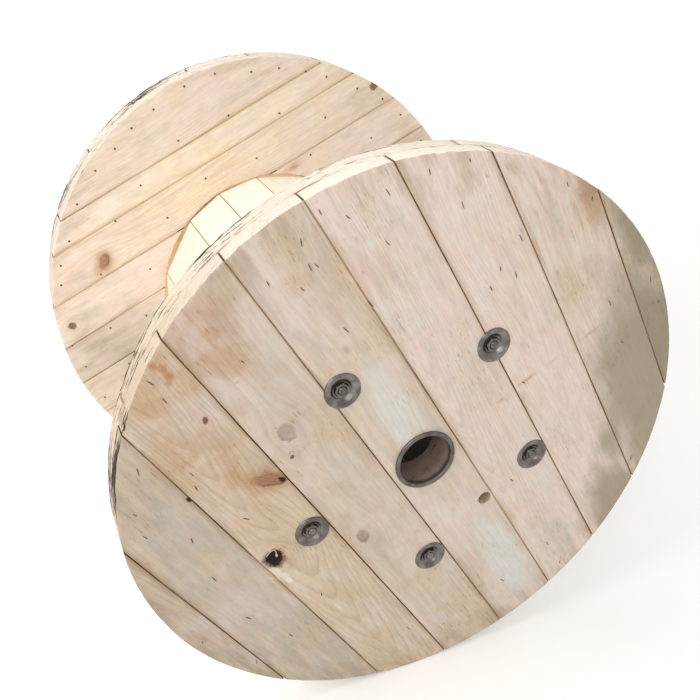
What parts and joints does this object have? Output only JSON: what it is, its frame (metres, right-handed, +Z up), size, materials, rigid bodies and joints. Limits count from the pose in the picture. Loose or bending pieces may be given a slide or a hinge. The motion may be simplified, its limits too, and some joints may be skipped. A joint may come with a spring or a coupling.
{
  "type": "wooden cable drum",
  "caption": "Wooden cable drum: two round flanges of crossed nailed boards, clamped by tie rods over a barrel of staves, with a steel-bushed spindle bore.",
  "frame": {"origin": "on the floor under the middle of the drum, half way between the flanges", "axes": "+Y along the spindle bore from the front flange to the back flange, +Z up, +X to the right seen from the front"},
  "size_m": [1, 0.8472, 1],
  "materials": {
    "flange_boards": "rough sawn softwood, weathered grey-tan, with knots and nail heads",
    "barrel_staves": "sawn softwood, pale",
    "rod_steel": "dull steel with light rust",
    "washer_steel": "dark pressed steel, worn",
    "bush_steel": "dark rolled steel, rusty inside"
  },
  "bodies": {
    "root": {"back_inner_board_1": "flange_boards", "back_inner_board_2": "flange_boards", "back_inner_board_3": "flange_boards", "back_inner_board_4": "flange_boards", "back_inner_board_5": "flange_boards", "back_inner_board_6": "flange_boards", "back_inner_board_7": "flange_boards", "back_inner_board_8": "flange_boards", "back_inner_board_9": "flange_boards", "back_inner_board_edge_1": "flange_boards", "back_inner_board_filler": "flange_boards", "back_outer_board_lower_1": "flange_boards", "back_outer_board_lower_2": "flange_boards", "back_outer_board_lower_3": "flange_boards", "back_outer_board_lower_4": "flange_boards", "back_outer_board_middle": "flange_boards", "back_outer_board_upper_1": "flange_boards", "back_outer_board_upper_2": "flange_boards", "back_outer_board_upper_3": "flange_boards", "back_outer_board_upper_4": "flange_boards", "cup_washers": "washer_steel", "front_inner_board_1": "flange_boards", "front_inner_board_2": "flange_boards", "front_inner_board_3": "flange_boards", "front_inner_board_4": "flange_boards", "front_inner_board_5": "flange_boards", "front_inner_board_6": "flange_boards", "front_inner_board_7": "flange_boards", "front_inner_board_8": "flange_boards", "front_inner_board_9": "flange_boards", "front_inner_board_edge_1": "flange_boards", "front_inner_board_filler": "flange_boards", "front_outer_board_lower_1": "flange_boards", "front_outer_board_lower_2": "flange_boards", "front_outer_board_lower_3": "flange_boards", "front_outer_board_lower_4": "flange_boards", "front_outer_board_middle": "flange_boards", "front_outer_board_upper_1": "flange_boards", "front_outer_board_upper_2": "flange_boards", "front_outer_board_upper_3": "flange_boards", "front_outer_board_upper_4": "flange_boards", "nuts": "rod_steel", "spindle_bushes": "bush_steel", "stave_01": "barrel_staves", "stave_02": "barrel_staves", "stave_03": "barrel_staves", "stave_04": "barrel_staves", "stave_05": "barrel_staves", "stave_06": "barrel_staves", "stave_07": "barrel_staves", "stave_08": "barrel_staves", "stave_09": "barrel_staves", "stave_10": "barrel_staves", "stave_11": "barrel_staves", "stave_12": "barrel_staves", "stave_13": "barrel_staves", "stave_14": "barrel_staves", "stave_15": "barrel_staves", "stave_16": "barrel_staves", "tie_rods": "rod_steel"}
  },
  "joints": []
}
